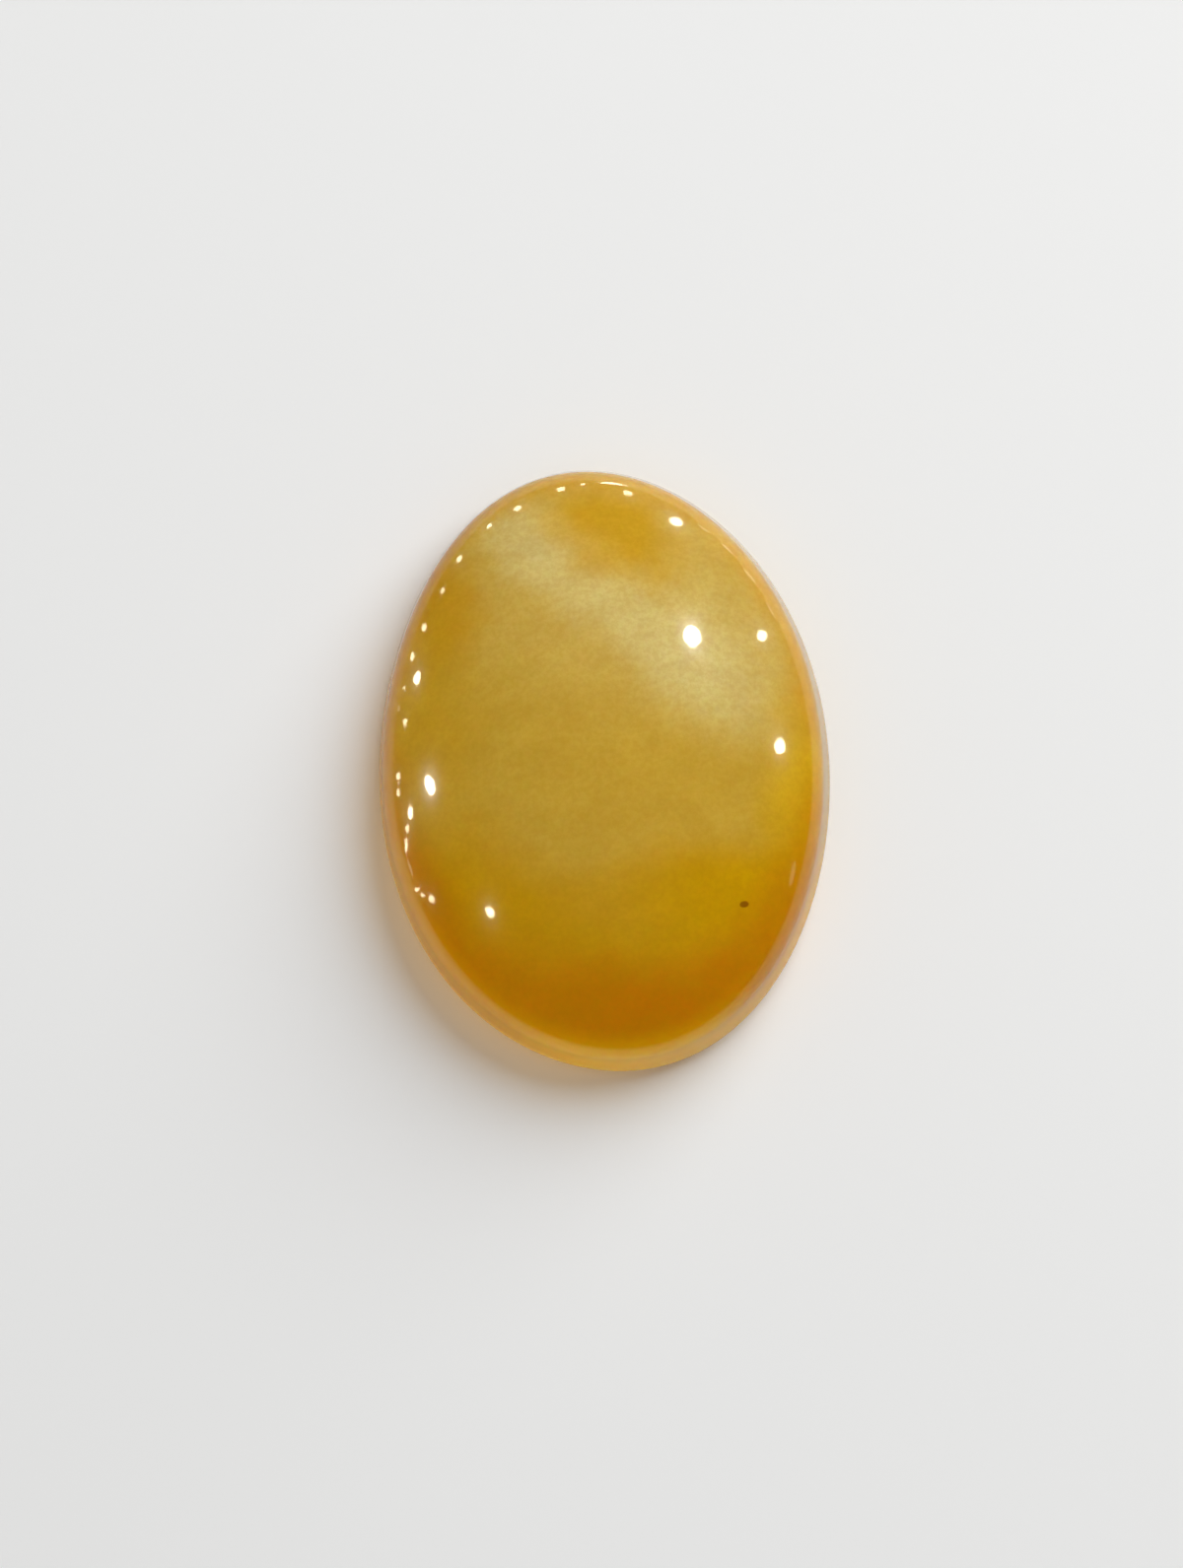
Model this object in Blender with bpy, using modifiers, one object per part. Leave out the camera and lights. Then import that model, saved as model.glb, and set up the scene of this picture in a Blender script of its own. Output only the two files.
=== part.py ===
"""Polished oval agate cabochon, one loose stone resting on its flat ground back.

Metres, +Z up. The origin is the middle of the flat back. The long axis runs along Y and the dome faces +Z.
The stone is a turned section stretched into an oval, with the slight wander of an outline cut by hand.
"""

import math

import bmesh
import bpy
from mathutils import Vector

MM = 0.001

# Driving dimensions
WIDTH = 15.0 * MM
LENGTH = 20.3 * MM
THICKNESS = 5.0 * MM
FOOT_RADIUS = 0.6 * MM
WALL_LEAN = math.radians(10)
WALL_HEIGHT = 1.0 * MM
SHOULDER_RADIUS = 1.3 * MM

# How far the hand-cut outline wanders from a true oval, as shares of its radius, by the number of lobes
THREE_LOBES = 0.007
FOUR_LOBES = 0.007

# Fineness of the facets
STEPS_AROUND = 96
DOME_STEPS = 16
SHOULDER_STEPS = 7
FOOT_STEPS = 6

HONEY = (0.46, 0.24, 0.03, 1.0)
POLISH_ROUGHNESS = 0.05


def clear_scene():
    for old in list(bpy.data.objects):
        bpy.data.objects.remove(old, do_unlink=True)


def arc(centre, radius, start, end, steps):
    """Points on an arc in the section plane, where an angle is that of the outward normal above the horizontal."""
    angles = [start + (end - start) * i / steps for i in range(steps + 1)]
    return [centre + radius * Vector((math.cos(a), math.sin(a))) for a in angles]


def section():
    """The stone's half section from the top of the dome down to the middle of the back, as (radius, height)."""
    upright = math.pi / 2
    foot_centre = Vector((WIDTH / 2 - FOOT_RADIUS, FOOT_RADIUS))
    wall_normal = Vector((math.cos(WALL_LEAN), math.sin(WALL_LEAN)))
    wall_rise = Vector((-math.tan(WALL_LEAN), 1)) * WALL_HEIGHT
    wall_foot = foot_centre + FOOT_RADIUS * wall_normal
    shoulder_centre = wall_foot + wall_rise - SHOULDER_RADIUS * wall_normal

    # The dome is the arc that is level over the middle and meets the shoulder's arc without a crease
    across, below = shoulder_centre.x, THICKNESS - shoulder_centre.y
    dome_radius = (across**2 + below**2 - SHOULDER_RADIUS**2) / (2 * (below - SHOULDER_RADIUS))
    dome_centre = Vector((0, THICKNESS - dome_radius))
    to_shoulder = shoulder_centre - dome_centre
    meeting = math.atan2(to_shoulder.y, to_shoulder.x)

    dome = arc(dome_centre, dome_radius, upright, meeting, DOME_STEPS)
    shoulder = arc(shoulder_centre, SHOULDER_RADIUS, meeting, WALL_LEAN, SHOULDER_STEPS)
    foot = arc(foot_centre, FOOT_RADIUS, WALL_LEAN, -upright, FOOT_STEPS)
    dome[0].x = 0
    return dome + shoulder[1:] + foot + [Vector((0, 0))]


def turned_blank(points):
    """The section turned once about Z, as a plain mesh."""
    profile = bmesh.new()
    corners = [profile.verts.new((p.x, 0, p.y)) for p in points]
    for upper, lower in zip(corners, corners[1:]):
        profile.edges.new((upper, lower))
    line = bpy.data.meshes.new("section")
    profile.to_mesh(line)
    profile.free()

    blank = bpy.data.objects.new("blank", line)
    bpy.context.scene.collection.objects.link(blank)
    screw = blank.modifiers.new("turn", "SCREW")
    screw.axis = "Z"
    screw.angle = 2 * math.pi
    screw.steps = screw.render_steps = STEPS_AROUND
    screw.use_merge_vertices = True
    screw.merge_threshold = 0.00001
    graph = bpy.context.evaluated_depsgraph_get()
    turned = bpy.data.meshes.new_from_object(blank.evaluated_get(graph))
    bpy.data.objects.remove(blank, do_unlink=True)
    return turned


def cut_by_hand(mesh):
    """Stretches the turned blank into the oval and gives its outline the wander of a stone cut by hand."""
    stretch = LENGTH / WIDTH
    for vertex in mesh.vertices:
        around = math.atan2(vertex.co.y, vertex.co.x)
        wander = 1 - THREE_LOBES * math.sin(3 * around) + FOUR_LOBES * math.sin(4 * around)
        vertex.co.x *= wander
        vertex.co.y *= wander * stretch


def centre_over_origin(mesh):
    """Moves the outline's box to the middle, so that the origin is under the middle of the stone."""
    for axis in (0, 1):
        places = [vertex.co[axis] for vertex in mesh.vertices]
        middle = (min(places) + max(places)) / 2
        for vertex in mesh.vertices:
            vertex.co[axis] -= middle


def honey_agate():
    material = bpy.data.materials.new("honey_agate")
    material.use_nodes = True
    shader = material.node_tree.nodes["Principled BSDF"]
    shader.inputs["Base Color"].default_value = HONEY
    shader.inputs["Roughness"].default_value = POLISH_ROUGHNESS
    shader.inputs["Metallic"].default_value = 0.0
    return material


def cabochon(collection):
    mesh = turned_blank(section())
    cut_by_hand(mesh)
    centre_over_origin(mesh)
    mesh.name = "agate_cabochon"
    mesh.shade_smooth()
    mesh.set_sharp_from_angle(angle=math.radians(40))
    mesh.materials.append(honey_agate())
    stone = bpy.data.objects.new("agate_cabochon", mesh)
    collection.objects.link(stone)
    return stone


def main():
    clear_scene()
    collection = bpy.data.collections.new("agate_cabochon")
    bpy.context.scene.collection.children.link(collection)
    cabochon(collection)


main()
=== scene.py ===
"""Looks of a polished oval agate cabochon: a cloudy honey stone with a low dome, resting on its back."""

import math

import bmesh
import bpy
from bpy.props import FloatProperty, FloatVectorProperty, IntProperty, PointerProperty
from mathutils import Matrix, Vector, noise
from mathutils.interpolate import poly_3d_calc


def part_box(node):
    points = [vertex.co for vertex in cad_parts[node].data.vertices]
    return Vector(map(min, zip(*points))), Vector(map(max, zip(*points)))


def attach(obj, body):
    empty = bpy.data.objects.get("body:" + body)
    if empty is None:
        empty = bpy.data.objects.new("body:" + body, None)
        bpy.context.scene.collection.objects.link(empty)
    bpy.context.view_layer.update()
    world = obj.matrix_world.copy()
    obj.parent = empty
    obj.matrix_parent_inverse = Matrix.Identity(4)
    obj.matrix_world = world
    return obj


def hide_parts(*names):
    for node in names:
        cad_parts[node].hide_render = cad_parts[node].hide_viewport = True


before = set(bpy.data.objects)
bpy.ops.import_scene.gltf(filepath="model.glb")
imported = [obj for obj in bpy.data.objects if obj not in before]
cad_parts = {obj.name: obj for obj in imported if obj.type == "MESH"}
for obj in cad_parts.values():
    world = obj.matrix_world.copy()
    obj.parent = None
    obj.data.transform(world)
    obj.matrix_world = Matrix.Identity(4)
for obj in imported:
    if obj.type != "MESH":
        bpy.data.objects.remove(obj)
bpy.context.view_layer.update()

bl_info = {
    "name": "Agate Cabochon",
    "version": (1, 0, 0),
    "blender": (4, 5, 0),
    "location": "View3D > Sidebar > Agate",
    "description": "A polished oval agate cabochon on a pale studio floor",
    "category": "Object",
}

MM = 0.001
NODE = "agate_cabochon"
LOW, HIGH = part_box(NODE)

# The half section of the stone, as the frame's solid has it
FOOT_RADIUS = 0.6 * MM
WALL_LEAN = math.radians(10)
WALL_HEIGHT = 1.0 * MM
SHOULDER_RADIUS = 1.3 * MM

# How far the hand-cut outline wanders from a true oval, as shares of its radius, by the number of lobes
THREE_LOBES = 0.007
FOUR_LOBES = 0.007

# How the mesh's rings are shared out over the dome, shoulder, wall, foot and back
RING_SHARES = (0.42, 0.16, 0.07, 0.13, 0.22)

# The waves that polishing by hand leaves, in waves a millimetre, and where in the noise each is taken from
BROAD_WAVES = 0.45
BROAD_WAVES_START = Vector((3.1, 0, 0))
FINE_WAVES = 1.3
FINE_WAVES_START = Vector((0, 7.7, 0))
# The fine waves' height at the edge, as a share of the broad ones', and how far round the lower edge the
# waves reach, as a slope
FINE_SHARE = 0.8
WAVE_REACH = 0.3

# The soft zones of colour: colour, centre and reach in millimetres, turn in degrees, softness and strength
ZONES = (
    ("milk_and_halo", (1.6, 5.4), (5.4, 3.6), -20, 0.7, 0.25),
    ("milk_and_halo", (-1.8, 7.2), (1.3, 0.9), -43, 0.8, 0.4),
    ("honey", (-6.9, 2.2), (2.6, 7.4), 0, 0.5, 0.75),
    ("olive", (-4.8, 5.3), (1.2, 1.5), 0, 0.7, 0.7),
    ("amber", (0.9, 7.3), (2.1, 1.4), -32, 0.5, 0.9),
    ("milk_and_halo", (1.0, 4.7), (4.7, 1.0), -43, 0.95, 0.5),
    # This zone beside the big glint is a painted halo of that glint, in the milk colour
    ("milk_and_halo", (3.8, 2.5), (2.2, 1.6), -43, 0.9, 0.5),
    ("edge", (0.0, 0.0), (6.8, 9.3), 0, 0.08, 0.55),
    ("gold", (6.6, -2.2), (1.3, 2.6), 0, 0.6, 0.8),
    ("clear", (0.4, 4.8), (14.0, 8.6), 0, 0.12, 0.9),
    ("haze", (0.7, -4.3), (2.5, 1.6), 0, 0.5, 0.2),
    ("hollow", (3.6, -5.0), (2.4, 1.5), 8, 0.6, 0.8),
    ("umber", (-4.9, -4.6), (2.0, 2.3), -25, 0.6, 0.85),
    ("burnt", (0.4, 4.0), (7.7, 11.5), 0, 0.10, 0.8),
    ("ember", (1.2, -8.0), (2.8, 1.0), 0, 0.8, 0.6),
)
# The zones that lie outside their ovals
OUTER_ZONES = ("edge", "clear", "burnt")
# How far the zones' outlines wander, in millimetres, and the scale of that in waves a millimetre
ZONE_DRIFT = 1.8
ZONE_DRIFT_SCALE = 0.35
# How deep a zone goes into the stone, in millimetres: far past its back
ZONE_DEPTH = 1000

# The bands of painted light and shade round the edge: the glow, rim and foot are painted light let through
# the thin edge, and the far and left rims are painted shade. Each gives colour, side of the stone, heights in
# millimetres where it starts and is full, and strength
RIM_BANDS = (
    ("glow", "near", 2.7, 1.9, 0.6),
    ("rim", "all", 1.75, 1.15, 0.75),
    ("far_rim_painted_shade", "far", 2.3, 1.3, 0.8),
    ("left_rim_painted_shade", "left", 2.7, 1.9, 0.7),
    ("foot", "near", 1.1, 0.5, 0.8),
)
# The direction across the stone from its near rim to its far rim
NEAR_TO_FAR = Vector((0.58, 0.81, 0.0))
# How far from the middle each side of the rim starts and is full, in millimetres: the near and far sides
# along that direction, the left side straight across
NEAR_SIDE = (-2.5, -6.5)
FAR_SIDE = (-2.0, 4.0)
LEFT_SIDE = (-1.5, -4.5)

# The mineral grain: place and reach in millimetres, turn in degrees, softness and strength
SPECK_PLACE = (4.3, -5.3)
SPECK_REACH = (0.15, 0.10)
SPECK_TURN = 10
SPECK_SOFTNESS = 0.25
SPECK_STRENGTH = 0.7

# How strongly the broad streaks and the fine grit show, their scales in cycles a millimetre, and the stretch
# of the streaks
MOTTLING = 0.22
STREAK_SCALE = 0.9
STREAK_STRETCH = Vector((0.8, 1.15, 1.0))
GRIT_SCALE = 5.0

# The polish, with the warm cast of what it mirrors
POLISH_ROUGHNESS = 0.035
REFRACTION = 1.54
POLISH_TINT = (1.0, 0.88, 0.55)
# The uneven lap marks under the polish: depth, strength, and scale in waves a millimetre
LAP_DEPTH = 0.004 * MM
LAP_STRENGTH = 0.25
LAP_SCALE = 2.6
# The soft shine that makes the halos: strength, roughness, and heights in millimetres where it starts and
# is full
HALO_STRENGTH = 0.3
HALO_ROUGHNESS = 0.17
HALO_HEIGHTS = (1.4, 2.6)
# The ground back: its roughness, what its scratches add to that, their depth beside the lap marks and their
# scale, and the heights in millimetres where the back starts and is full
GROUND_ROUGHNESS = 0.33
SCRATCH_ROUGHNESS = 0.2
SCRATCH_DEPTH = 3.0
SCRATCH_SCALE = 9.0
BACK_HEIGHTS = (0.05, 0.01)
# How far light travels in the stone, and the shares of that for red, green and blue
SCATTER_REACH = 3 * MM
SCATTER_SHARES = (1.0, 0.5, 0.14)

# The picture that the camera frames, in pixels, the scale at the stone, and the aim's offset in pixels from
# the stone's middle to the right and up
PICTURE = Vector((1200, 1591))
PIXELS_PER_MM = 30.5
AIM_OFFSET = Vector((-12.3, -15.5))
AIM_HEIGHT = 0.6 * MM
# The height of the camera's sensor in millimetres, and the nearest that it sees in metres
SENSOR = 24
NEAREST_SEEN = 0.01
# Which way the camera leans, as shares of the picture's right and up
CAMERA_LEAN = (0.26, -0.97)

# The key lamp's side of the stone, as shares of the picture's right and up
KEY_SIDE = (0.643, 0.766)
# The soft lamps: name, how far towards the key's side, and size in metres
SOFT_LAMPS = (("key", 1.0, 0.6), ("fill", -0.9, 0.5))
# How far up the soft lamps stand for each part aside, and their distance in metres
LAMP_RISE = 0.7
SOFT_LAMP_DISTANCE = 0.6

# The horizon that the polish mirrors fades out by this rise, as the sine of its angle
HORIZON_HEIGHT = 0.15

# The light that passes the stone: height, shift and size as a share of the stone
GLOW_HEIGHT = 1.4 * MM
GLOW_SHIFT = 2.1 * MM
GLOW_SHARE = 0.9

# The floor: half its side in metres, how far it lies under the stone, and its dull shine
FLOOR_REACH = 1.5
FLOOR_DROP = 0.02 * MM
FLOOR_ROUGHNESS = 0.6
FLOOR_SHINE = 0.2

# The lamps that the polish mirrors: their distance from the stone, the largest size, and their brightness
LAMP_DISTANCE = 300 * MM
LARGEST_LAMP = 150 * MM
DAZZLING = 80
BRIGHT = 36
DIM = 18
FAINT = 4
TRACE = 1.5
# The glints: place and size in the picture in pixels, turn in degrees, and brightness
GLINTS = (
    (702, 645, 17, 21, -20, DAZZLING),
    (773, 645, 10, 10, 0, BRIGHT),
    (791, 757, 11, 16, 0, BRIGHT),
    (436, 797, 9, 19, -14, DAZZLING),
    (497, 925, 8, 12, -28, BRIGHT),
    (686, 529, 14, 8, 20, BRIGHT),
    (637, 500, 10, 5, 10, DIM),
    (591, 491, 4, 3, 0, DIM),
    (569, 496, 8, 5, -15, DIM),
    (525, 516, 8, 5, -35, DIM),
    (496, 534, 6, 3, -45, DIM),
    (466, 567, 4, 7, 30, DIM),
    (449, 599, 3, 5, 20, DIM),
    (430, 637, 4, 7, 15, DIM),
    (418, 666, 4, 8, 10, DIM),
    (423, 688, 7, 13, 12, BRIGHT),
    (410, 698, 3, 4, 0, DIM),
    (404, 718, 3, 6, 0, FAINT),
    (411, 733, 4, 8, 0, DIM),
    (404, 788, 4, 9, 0, DIM),
    (404, 804, 3, 8, 0, DIM),
    (416, 824, 5, 13, 0, BRIGHT),
    (413, 841, 4, 8, 5, DIM),
    (412, 858, 3, 16, 0, DIM),
    (416, 881, 2, 18, -18, FAINT),
    (422, 903, 4, 3, 30, DIM),
    (429, 908, 5, 3, 30, DIM),
    (438, 912, 6, 8, -30, DIM),
    (628, 491, 40, 2, 10, DIM),
    (656, 497, 10, 2, 20, FAINT),
    (715, 537, 14, 2, 36, FAINT),
    (738, 557, 16, 2, 43, FAINT),
    (761, 585, 20, 2, 53, FAINT),
    (782, 619, 20, 2, 62, FAINT),
    (804, 887, 4, 26, 12, TRACE),
)


def linear(red, green, blue):
    """The linear colour of a display colour given from 0 to 255."""
    def channel(value):
        share = value / 255
        return share / 12.92 if share <= 0.04045 else ((share + 0.055) / 1.055) ** 2.4

    return (channel(red), channel(green), channel(blue))


def colour_property(name, description, default):
    return FloatVectorProperty(
        name=name, description=description, subtype="COLOR", size=3, min=0.0, max=1.0, default=default
    )


class StoneShape(bpy.types.PropertyGroup):
    length: FloatProperty(
        name="Length", description="Long axis of the oval", default=(HIGH - LOW).y, unit="LENGTH"
    )
    width: FloatProperty(
        name="Width", description="Short axis of the oval", default=(HIGH - LOW).x, unit="LENGTH"
    )
    thickness: FloatProperty(
        name="Thickness",
        description="Height of the dome over the back",
        default=(HIGH - LOW).z,
        unit="LENGTH",
    )
    fineness: IntProperty(
        name="Fineness",
        description="Facets along each side of the cube that the stone is drawn from",
        default=96,
    )
    waviness: FloatProperty(
        name="Waviness",
        description="Height of the polishing waves on the dome",
        default=0.003 * MM,
        unit="LENGTH",
    )


class StoneColours(bpy.types.PropertyGroup):
    haze: colour_property("Haze", "The cloudy body of the dome", linear(185, 153, 54))
    honey: colour_property("Honey", "The clearer flank on the left", linear(188, 147, 16))
    olive: colour_property("Olive", "The dull patch high on the left", linear(184, 137, 8))
    amber: colour_property("Amber", "The warm patch at the crown", linear(190, 149, 22))
    # The milk colour is the cloudy veil, and it also paints the halo beside the big glint
    milk_and_halo: colour_property("Milk", "The pale veil that crosses the dome", linear(204, 193, 134))
    gold: colour_property("Gold", "The clear flank on the right", linear(196, 158, 8))
    clear: colour_property("Clear honey", "The end of the stone without haze", linear(184, 140, 0))
    hollow: colour_property("Hollow", "The yellow pool near the foot", linear(186, 144, 0))
    umber: colour_property("Umber", "The warm shade low on the left", linear(186, 142, 0))
    burnt: colour_property("Burnt amber", "The dark crescent round the clear end", linear(180, 112, 0))
    ember: colour_property("Ember", "The darkest patch, at the clear end", linear(180, 106, 0))
    edge: colour_property("Edge", "The clearer band inside the shoulder", linear(182, 130, 14))
    mottle: colour_property("Mottling", "The fine darker mottling", linear(152, 112, 0))
    # Painted light: the inner edge, rim and foot colours stand for light let through the thin edge
    glow: colour_property("Inner edge", "The bright line above the rim", linear(210, 170, 4))
    rim: colour_property("Rim", "The thin edge that lets the light through", linear(214, 160, 20))
    foot: colour_property("Foot", "The pale lowest part of the edge", linear(216, 168, 62))
    # Painted shade: the far rim is darkened where the key lamp lights the shoulder, and the left rim down the
    # left side
    far_rim_painted_shade: colour_property("Far rim", "The rim on the side towards the light", linear(146, 124, 76))
    left_rim_painted_shade: colour_property("Left rim", "The darker rim down the left", linear(172, 115, 0))
    speck: colour_property("Speck", "The mineral grain in the stone", linear(104, 40, 2))


class StageLook(bpy.types.PropertyGroup):
    floor: colour_property("Floor", "The plain pale floor", linear(240, 240, 239))
    daylight: FloatProperty(name="Daylight", description="Strength of the even light all round", default=0.27)
    gleam: FloatProperty(
        name="Gleam", description="Strength of the room that the polish mirrors", default=0.02
    )
    horizon: FloatProperty(
        name="Horizon", description="Strength of the mirrored room low down", default=0.45
    )
    key_power: FloatProperty(
        name="Key", description="Power of the large soft lamp", default=5.1, unit="POWER"
    )
    fill_power: FloatProperty(
        name="Fill", description="Power of the lamp on the shaded side", default=2.5, unit="POWER"
    )
    glow: FloatProperty(name="Glow", description="Strength of the light that passes the stone", default=0.32)
    glow_colour: colour_property(
        "Glow colour", "Colour of the light that passes the stone", (1.0, 0.58, 0.15)
    )
    camera_distance: FloatProperty(
        name="Camera distance", description="From the camera to the stone", default=220 * MM, unit="LENGTH"
    )
    tilt: FloatProperty(
        name="Tilt",
        description="Lean of the camera from straight above",
        default=math.radians(9),
        subtype="ANGLE",
    )
    roll: FloatProperty(
        name="Roll",
        description="Turn of the long axis in the picture",
        default=math.radians(4.6),
        subtype="ANGLE",
    )


class Section:
    """The stone's half section, from the top of the dome to the middle of the back, walked by arc length."""

    def __init__(self, width, thickness):
        upright = math.pi / 2
        foot = Vector((width / 2 - FOOT_RADIUS, FOOT_RADIUS))
        outward = Vector((math.cos(WALL_LEAN), math.sin(WALL_LEAN)))
        rise = Vector((-math.tan(WALL_LEAN), 1)) * WALL_HEIGHT
        wall_top = foot + FOOT_RADIUS * outward + rise
        shoulder = wall_top - SHOULDER_RADIUS * outward
        across, below = shoulder.x, thickness - shoulder.y
        dome_radius = (across**2 + below**2 - SHOULDER_RADIUS**2) / (2 * (below - SHOULDER_RADIUS))
        dome = Vector((0, thickness - dome_radius))
        meeting = math.atan2(shoulder.y - dome.y, shoulder.x - dome.x)
        self.stretches = (
            self.arc(dome, dome_radius, upright, meeting),
            self.arc(shoulder, SHOULDER_RADIUS, meeting, WALL_LEAN),
            self.line(wall_top, wall_top - rise),
            self.arc(foot, FOOT_RADIUS, WALL_LEAN, -upright),
            self.line(Vector((foot.x, 0)), Vector((0, 0))),
        )

    @staticmethod
    def arc(centre, radius, start, end):
        def at(share):
            angle = start + (end - start) * share
            return centre + radius * Vector((math.cos(angle), math.sin(angle)))

        return at

    @staticmethod
    def line(start, end):
        return lambda share: start.lerp(end, share)

    def at(self, share):
        """The point (radius, height) at a share of the way from the dome's top to the middle of the back."""
        for part, stretch in zip(RING_SHARES, self.stretches):
            if share <= part:
                return stretch(share / part)
            share -= part
        return Vector((0, 0))


def rounded_direction(corner):
    """The direction of a point on the cube, spread so that the facets come out near one size."""
    return Vector(math.tan(axis * math.pi / 4) for axis in corner).normalized()


def cabochon_mesh(shape):
    """A finely divided cube laid over the stone's form, so that the dome has no pole."""
    form = bmesh.new()
    bmesh.ops.create_cube(form, size=2)
    bmesh.ops.subdivide_edges(form, edges=form.edges[:], cuts=shape.fineness - 1, use_grid_fill=True)
    section = Section(shape.width, shape.thickness)
    stretch = shape.length / shape.width
    for vertex in form.verts:
        direction = rounded_direction(vertex.co)
        radius, height = section.at(math.acos(max(-1, min(1, direction.z))) / math.pi)
        around = math.atan2(direction.y, direction.x)
        wander = 1 - THREE_LOBES * math.sin(3 * around) + FOUR_LOBES * math.sin(4 * around)
        vertex.co = (
            radius * math.cos(around) * wander,
            radius * math.sin(around) * wander * stretch,
            height,
        )
    centre = outline_centre(form)
    bmesh.ops.translate(form, verts=form.verts[:], vec=-centre)
    bmesh.ops.recalc_face_normals(form, faces=form.faces[:])
    polish_by_hand(form, shape.waviness)
    mesh = bpy.data.meshes.new(NODE)
    form.to_mesh(mesh)
    form.free()
    mesh.shade_smooth()
    return mesh


def outline_centre(form):
    """The middle of the outline's box, level with the back."""
    middle = Vector((0, 0, 0))
    for axis in (0, 1):
        places = [vertex.co[axis] for vertex in form.verts]
        middle[axis] = (min(places) + max(places)) / 2
    return middle


def polish_by_hand(form, waviness):
    """Sinks the polished faces by the few thousandths of a millimetre that a hand-held stone is uneven by.

    The waves die out round the lower edge and leave the back flat.
    """
    form.normal_update()
    shifts = []
    for vertex in form.verts:
        place = vertex.co / MM
        broad = noise.noise(place * BROAD_WAVES + BROAD_WAVES_START)
        fine = noise.noise(place * FINE_WAVES + FINE_WAVES_START)
        edge = 1 - vertex.normal.z
        facing = max(0, min(1, vertex.normal.z + WAVE_REACH))
        depth = waviness * (broad - 1 + edge * FINE_SHARE * (fine - 1))
        shifts.append(vertex.normal * depth * facing)
    for vertex, shift in zip(form.verts, shifts):
        vertex.co += shift


class Field:
    """A value that varies over the surface. Sums and products of fields add Math nodes."""

    def __init__(self, tree, socket):
        self.tree = tree
        self.socket = socket

    def math(self, operation, *values):
        node = self.tree.nodes.new("ShaderNodeMath")
        node.operation = operation
        for place, value in zip(node.inputs, values):
            connect(self.tree, place, value)
        return Field(self.tree, node.outputs[0])

    def __add__(self, other):
        return self.math("ADD", self, other)

    def __sub__(self, other):
        return self.math("SUBTRACT", self, other)

    def __rsub__(self, other):
        return self.math("SUBTRACT", other, self)

    def __mul__(self, other):
        return self.math("MULTIPLY", self, other)

    __radd__ = __add__
    __rmul__ = __mul__


def connect(tree, place, value):
    """Puts a number, a colour or a field into a socket."""
    if isinstance(value, Field):
        tree.links.new(value.socket, place)
    elif isinstance(value, (tuple, Vector)) and place.type == "RGBA":
        place.default_value = (*value, 1.0)
    else:
        place.default_value = value


class NodeTree:
    """A node tree, with the few nodes that the finishes and the daylight are written in."""

    def __init__(self, tree):
        self.tree = tree

    def node(self, kind, settings=None, output=0, **inputs):
        """Adds a node, with its settings first and then the values or fields of its sockets."""
        node = self.tree.nodes.new(kind)
        for name, value in (settings or {}).items():
            setattr(node, name, value)
        for name, value in inputs.items():
            place = next(s for s in node.inputs if s.enabled and s.name == name.replace("_", " "))
            connect(self.tree, place, value)
        return Field(self.tree, [socket for socket in node.outputs if socket.enabled][output])

    def vector_math(self, operation, *vectors, scale=1.0):
        """Adds a Vector Math node and returns its vector, or its number where that is what it works out."""
        node = self.tree.nodes.new("ShaderNodeVectorMath")
        node.operation = operation
        for socket, value in zip(node.inputs, vectors):
            connect(self.tree, socket, value)
        if operation == "SCALE":
            node.inputs["Scale"].default_value = scale
        return Field(self.tree, node.outputs["Value" if operation in ("LENGTH", "DOT_PRODUCT") else "Vector"])

    def cloud(self, place, scale, detail, roughness):
        """Soft noise round 0.5, by its scale in cycles a millimetre."""
        return self.node(
            "ShaderNodeTexNoise", Vector=place, Scale=scale, Detail=detail, Roughness=roughness
        )

    def ramp(self, value, start, end):
        """0 where value is at start and 1 where it is at end, eased at both."""
        return self.node(
            "ShaderNodeMapRange", {"interpolation_type": "SMOOTHSTEP"},
            Value=value, From_Min=start, From_Max=end, To_Min=0.0, To_Max=1.0,
        )

    def blend(self, factor, first, second):
        """Changes one colour to another by a field."""
        return self.node(
            "ShaderNodeMix", {"data_type": "RGBA"}, Factor=factor, A=first, B=second
        )

    def drift(self, place, scale, reach):
        """The place moved about by soft noise, for ragged outlines."""
        noise_colour = self.node("ShaderNodeTexNoise", output=1, Vector=place, Scale=scale, Detail=3.0)
        sway = self.vector_math("SUBTRACT", noise_colour, Vector((0.5, 0.5, 0.5)))
        return self.vector_math("ADD", place, self.vector_math("SCALE", sway, scale=reach))

    def patch(self, place, centre, reach, turn, softness):
        """1 inside a soft oval over the dome and 0 outside, by its centre and reach in millimetres."""
        moved = self.node(
            "ShaderNodeMapping", {"vector_type": "TEXTURE"}, Vector=place,
            Location=(*centre, 0), Rotation=(0, 0, math.radians(turn)), Scale=(*reach, ZONE_DEPTH),
        )
        return self.ramp(self.vector_math("LENGTH", moved), 1 + softness, 1 - softness)


class Finish(NodeTree):
    """A material, written in nodes that vary over the stone."""

    def __init__(self, name):
        self.material = bpy.data.materials.new(name)
        self.material.use_nodes = True
        super().__init__(self.material.node_tree)
        self.shader = self.tree.nodes["Principled BSDF"]

    def set(self, **inputs):
        for name, value in inputs.items():
            connect(self.tree, self.shader.inputs[name.replace("_", " ")], value)

    def place(self):
        """Where a point is in the stone, in millimetres from the middle of its back."""
        return self.vector_math("SCALE", self.node("ShaderNodeTexCoord", output=3), scale=1 / MM)


def zoned(finish, place, colours):
    """The cloudy body with its soft zones, one of them a painted halo beside the big glint."""
    drifting = finish.drift(place, ZONE_DRIFT_SCALE, ZONE_DRIFT)
    body = tuple(colours.haze)
    for name, centre, reach, turn, softness, strength in ZONES:
        mask = finish.patch(drifting, centre, reach, turn, softness)
        if name in OUTER_ZONES:
            mask = 1 - mask
        body = finish.blend(mask * strength, body, tuple(getattr(colours, name)))
    return body


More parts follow.
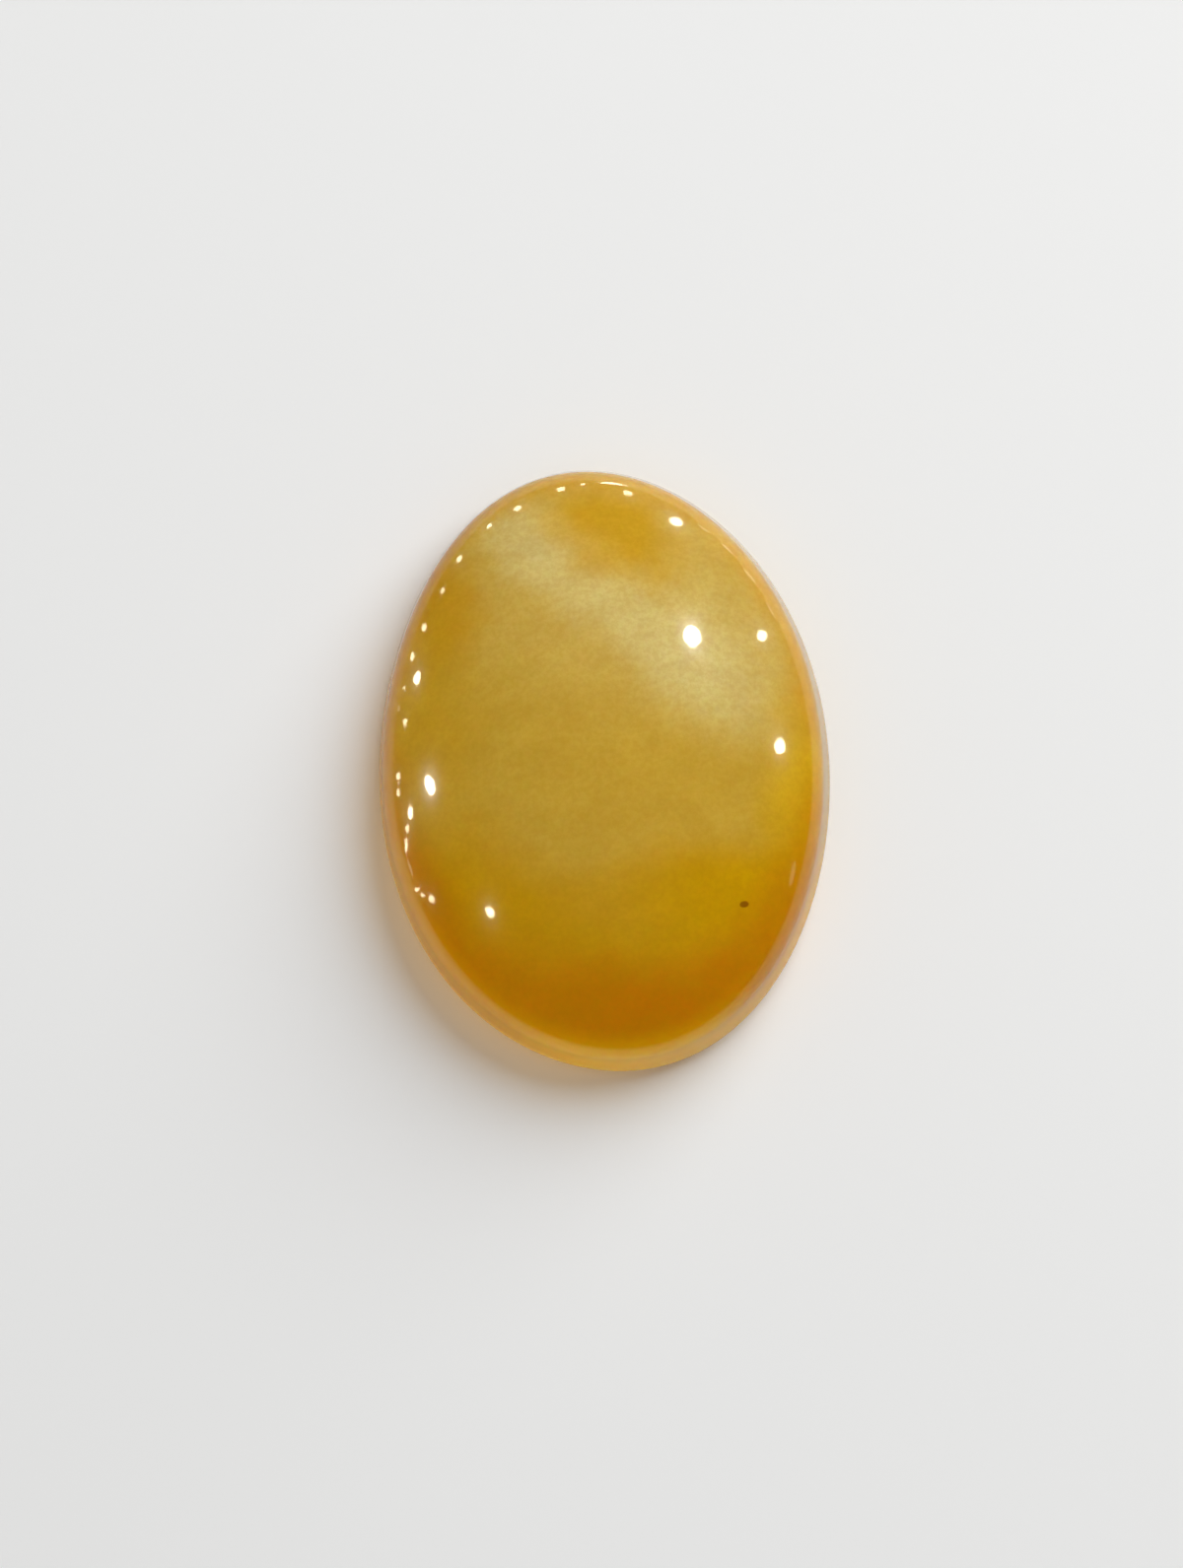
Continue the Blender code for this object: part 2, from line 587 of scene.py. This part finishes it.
def mottled(finish, place, body, mottle):
    """The body with broad streaks and fine grit in a darker shade."""
    streaks = finish.vector_math("MULTIPLY", place, STREAK_STRETCH)
    depth = finish.ramp(finish.cloud(streaks, STREAK_SCALE, detail=5.0, roughness=0.65), 0.3, 0.7)
    body = finish.blend(depth * MOTTLING, body, mottle)
    grit = finish.ramp(finish.cloud(place, GRIT_SCALE, detail=4.0, roughness=0.7), 0.35, 0.65)
    return finish.blend(grit * MOTTLING, body, mottle)


def rimmed(finish, place, height, body, colours):
    """The body with the bands of painted light and shade round its edge."""
    across = finish.node("ShaderNodeSeparateXYZ", output=0, Vector=place)
    away = finish.vector_math("DOT_PRODUCT", place, NEAR_TO_FAR)
    sides = {
        "near": finish.ramp(away, *NEAR_SIDE),
        "far": finish.ramp(away, *FAR_SIDE),
        "left": finish.ramp(across, *LEFT_SIDE),
    }
    for name, side, upper, lower, strength in RIM_BANDS:
        mask = finish.ramp(height, upper, lower) * strength
        if side != "all":
            mask = mask * sides[side]
        body = finish.blend(mask, body, tuple(getattr(colours, name)))
    return body


def honey_agate(colours):
    """Cloudy chalcedony: soft zones of colour under a hard polish, a thin rim painted with light and shade,
    and a ground back.
    """
    finish = Finish("honey_agate")
    place = finish.place()
    body = zoned(finish, place, colours)
    body = mottled(finish, place, body, tuple(colours.mottle))
    height = finish.node("ShaderNodeSeparateXYZ", output=2, Vector=place)
    body = rimmed(finish, place, height, body, colours)
    grain = finish.patch(place, SPECK_PLACE, SPECK_REACH, SPECK_TURN, SPECK_SOFTNESS)
    body = finish.blend(grain * SPECK_STRENGTH, body, tuple(colours.speck))

    back = finish.ramp(height, *BACK_HEIGHTS)
    scratches = finish.cloud(place, SCRATCH_SCALE, detail=4.0, roughness=0.7)
    marks = finish.cloud(place, LAP_SCALE, detail=4.0, roughness=0.55) + back * scratches * SCRATCH_DEPTH
    lap = finish.node("ShaderNodeBump", Strength=LAP_STRENGTH, Distance=LAP_DEPTH, Height=marks)
    finish.set(
        Base_Color=body,
        Roughness=POLISH_ROUGHNESS + back * (GROUND_ROUGHNESS + scratches * SCRATCH_ROUGHNESS),
        Normal=lap,
        IOR=REFRACTION,
        Specular_Tint=POLISH_TINT,
        Coat_Weight=finish.ramp(height, *HALO_HEIGHTS) * HALO_STRENGTH,
        Coat_Roughness=HALO_ROUGHNESS,
        Subsurface_Weight=1.0,
        Subsurface_Scale=SCATTER_REACH,
        Subsurface_Radius=SCATTER_SHARES,
    )
    return finish.material


class AGATE_OT_cabochon(bpy.types.Operator):
    """Models the stone and gives it its finish"""

    bl_idname = "agate.cabochon"
    bl_label = "Agate cabochon"

    def execute(self, context):
        scene = context.scene
        stone = bpy.data.objects.new("agate", cabochon_mesh(scene.agate_shape))
        scene.collection.objects.link(stone)
        stone.data.materials.append(honey_agate(scene.agate_colours))
        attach(stone, "root")
        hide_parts(NODE)
        return {"FINISHED"}


class View:
    """The camera's place over the stone, worked out from its tilt, roll and distance."""

    def __init__(self, stage):
        self.up = Vector((math.sin(stage.roll), math.cos(stage.roll), 0))
        self.right = Vector((math.cos(stage.roll), -math.sin(stage.roll), 0))
        lean = self.across(CAMERA_LEAN)
        self.back = (math.cos(stage.tilt) * Vector((0, 0, 1)) + math.sin(stage.tilt) * lean).normalized()
        self.aim = Vector((0, 0, AIM_HEIGHT)) + self.across(AIM_OFFSET / PIXELS_PER_MM * MM)
        self.place = self.aim + self.back * stage.camera_distance
        side = self.up.cross(self.back).normalized()
        self.matrix = Matrix((side, self.back.cross(side), self.back)).transposed().to_4x4()
        self.matrix.translation = self.place
        self.spread = PICTURE.y / PIXELS_PER_MM * MM / stage.camera_distance

    def across(self, shares):
        """A level direction or distance, from its parts along the picture's right and up."""
        return shares[0] * self.right + shares[1] * self.up

    def ray(self, pixel):
        """The direction in which the camera sees a pixel of the picture."""
        offset = (Vector(pixel) - PICTURE / 2) / PICTURE.y * self.spread
        return (self.matrix.to_3x3() @ Vector((offset.x, -offset.y, -1))).normalized()


def studio_camera(scene, view):
    data = bpy.data.cameras.new("camera")
    data.sensor_fit = "VERTICAL"
    data.sensor_height = SENSOR
    data.lens = SENSOR / view.spread
    data.clip_start = NEAREST_SEEN
    camera = bpy.data.objects.new("camera", data)
    camera.matrix_world = view.matrix
    scene.collection.objects.link(camera)
    scene.camera = camera


def pale_floor(scene, colour):
    form = bmesh.new()
    bmesh.ops.create_grid(form, x_segments=1, y_segments=1, size=FLOOR_REACH)
    mesh = bpy.data.meshes.new("floor")
    form.to_mesh(mesh)
    form.free()
    floor = bpy.data.objects.new("floor", mesh)
    floor.location.z = -FLOOR_DROP
    scene.collection.objects.link(floor)
    finish = Finish("pale_floor")
    finish.set(Base_Color=tuple(colour), Roughness=FLOOR_ROUGHNESS, Specular_IOR_Level=FLOOR_SHINE)
    mesh.materials.append(finish.material)
    return floor


def daylight(scene, look):
    """Even light all round. The polish mirrors a dark ceiling over a brighter horizon."""
    world = bpy.data.worlds.new("daylight")
    world.use_nodes = True
    nodes = NodeTree(world.node_tree)
    direction = nodes.node("ShaderNodeTexCoord")
    rise = nodes.node("ShaderNodeSeparateXYZ", output=2, Vector=direction)
    room = look.gleam + nodes.ramp(rise, HORIZON_HEIGHT, 0.0) * look.horizon
    mirrored_ray = nodes.node("ShaderNodeLightPath", output=3)
    background = world.node_tree.nodes["Background"]
    background.inputs["Color"].default_value = (1.0, 1.0, 1.0, 1.0)
    strength = look.daylight * (1 - mirrored_ray) + room * mirrored_ray
    connect(nodes.tree, background.inputs["Strength"], strength)
    scene.world = world


def lamp(scene, name, place, axes, size, power):
    """An oval lamp facing along -Z of its axes. The camera never sees it directly."""
    data = bpy.data.lights.new(name, "AREA")
    data.shape = "ELLIPSE"
    data.size, data.size_y = size
    data.energy = power
    item = bpy.data.objects.new(name, data)
    item.matrix_world = Matrix.Translation(place) @ axes.to_4x4()
    item.visible_camera = False
    scene.collection.objects.link(item)
    return item


def lamp_power(brightness, size):
    """The power of an oval lamp whose face is as bright as this."""
    return brightness * math.pi * math.pi / 4 * size[0] * size[1]


def light_only(item, receiver):
    """Lets a lamp light one object, past all others."""
    group = bpy.data.collections.new(f"{item.name} on {receiver.name}")
    group.objects.link(receiver)
    item.light_linking.receiver_collection = group
    item.light_linking.blocker_collection = group


def soft_lights(scene, stone, view, sideways, look):
    """The key lamp, and the fill lamp that lights only the stone."""
    powers = {"key": look.key_power, "fill": look.fill_power}
    for name, aside, size in SOFT_LAMPS:
        direction = (aside * sideways + Vector((0, 0, LAMP_RISE))).normalized()
        place = direction * SOFT_LAMP_DISTANCE
        item = lamp(scene, name, place, facing(direction, view.right), (size, size), powers[name])
        item.visible_glossy = False
        if name == "fill":
            light_only(item, stone)


def glow(scene, stone, floor, sideways, look):
    """The warm light that the stone lets through on to the floor in its shadow."""
    size = GLOW_SHARE * stone.dimensions.xy
    place = Vector((0, 0, GLOW_HEIGHT)) - sideways * GLOW_SHIFT
    item = lamp(scene, "glow", place, Matrix.Identity(3), size, lamp_power(look.glow, size))
    item.data.color = look.glow_colour
    item.visible_glossy = False
    light_only(item, floor)


def facing(direction, across):
    """Axes whose +Z is a direction and whose +X lies nearest to across."""
    upright = direction.cross(across).normalized()
    return Matrix((upright.cross(direction).normalized(), upright, direction)).transposed()


def mirrored(stone, view, pixel):
    """Where the polish sends the camera's ray at a pixel: the point of the stone and the direction."""
    ray = view.ray(pixel)
    hit, place, _, index = stone.ray_cast(view.place, ray)
    if not hit:
        raise RuntimeError(f"the stone isn't at pixel {pixel}")
    polygon = stone.data.polygons[index]
    corners = [stone.data.vertices[i] for i in polygon.vertices]
    weights = poly_3d_calc([corner.co for corner in corners], place)
    normal = sum((corner.normal * weight for corner, weight in zip(corners, weights)), Vector())
    return place, ray.reflect(normal.normalized())


def glint_lamp(scene, stone, view, number, glint):
    """A small lamp whose reflection is one glint on the dome."""
    x, y, width, height, turn, brightness = glint
    place, direction = mirrored(stone, view, (x, y))
    centre = place + direction * LAMP_DISTANCE
    turned = Matrix.Rotation(math.radians(turn), 2)
    axes = facing(direction, view.right)
    half_axes = []
    for offset in (Vector((width / 2, 0)), Vector((0, height / 2))):
        spot, aside = mirrored(stone, view, Vector((x, y)) + turned @ offset)
        half_axes.append(axes.transposed() @ (spot + aside * LAMP_DISTANCE - centre))
    angle, size = oval(*half_axes)
    axes = axes @ Matrix.Rotation(angle, 3, "Z")
    item = lamp(scene, f"glint_lamp_{number}", centre, axes, size, lamp_power(brightness, size))
    item.visible_diffuse = False


def oval(first, second):
    """The turn and the two axes of the oval that has these two as a pair of its skewed half axes."""
    spread_x = first.x**2 + second.x**2
    spread_y = first.y**2 + second.y**2
    skew = first.x * first.y + second.x * second.y
    middle = (spread_x + spread_y) / 2
    swing = math.hypot((spread_x - spread_y) / 2, skew)
    angle = math.atan2(skew, (spread_x - spread_y) / 2) / 2
    halves = (math.sqrt(middle + swing), math.sqrt(max(middle - swing, 0)))
    return angle, [min(2 * half, LARGEST_LAMP) for half in halves]


class AGATE_OT_stage(bpy.types.Operator):
    """Lays the pale floor, the soft light and the camera round the stone"""

    bl_idname = "agate.stage"
    bl_label = "Stage"

    def execute(self, context):
        scene = context.scene
        look = scene.agate_stage
        stone = bpy.data.objects["agate"]
        view = View(look)
        sideways = view.across(KEY_SIDE)
        studio_camera(scene, view)
        floor = pale_floor(scene, look.floor)
        daylight(scene, look)
        soft_lights(scene, stone, view, sideways, look)
        glow(scene, stone, floor, sideways, look)
        context.view_layer.update()
        for number, glint in enumerate(GLINTS, 1):
            glint_lamp(scene, stone, view, number, glint)
        scene.view_settings.view_transform = "Standard"
        return {"FINISHED"}


class AGATE_PT_panel(bpy.types.Panel):
    """Lists the stone's sizes, its colours and the stage"""

    bl_idname = "AGATE_PT_panel"
    bl_label = "Agate Cabochon"
    bl_space_type = "VIEW_3D"
    bl_region_type = "UI"
    bl_category = "Agate"

    def draw(self, context):
        for operator, group in (
            (AGATE_OT_cabochon, "agate_shape"),
            (AGATE_OT_cabochon, "agate_colours"),
            (AGATE_OT_stage, "agate_stage"),
        ):
            box = self.layout.box()
            settings = getattr(context.scene, group)
            for name in type(settings).__annotations__:
                box.prop(settings, name)
            box.operator(operator.bl_idname)


GROUPS = {"agate_shape": StoneShape, "agate_colours": StoneColours, "agate_stage": StageLook}
CLASSES = (*GROUPS.values(), AGATE_OT_cabochon, AGATE_OT_stage, AGATE_PT_panel)


def register():
    for item in CLASSES:
        bpy.utils.register_class(item)
    for name, group in GROUPS.items():
        setattr(bpy.types.Scene, name, PointerProperty(type=group))


def unregister():
    for name in GROUPS:
        delattr(bpy.types.Scene, name)
    for item in reversed(CLASSES):
        bpy.utils.unregister_class(item)


def main():
    register()
    bpy.ops.agate.cabochon()
    bpy.ops.agate.stage()


if __name__ == "__main__":
    main()
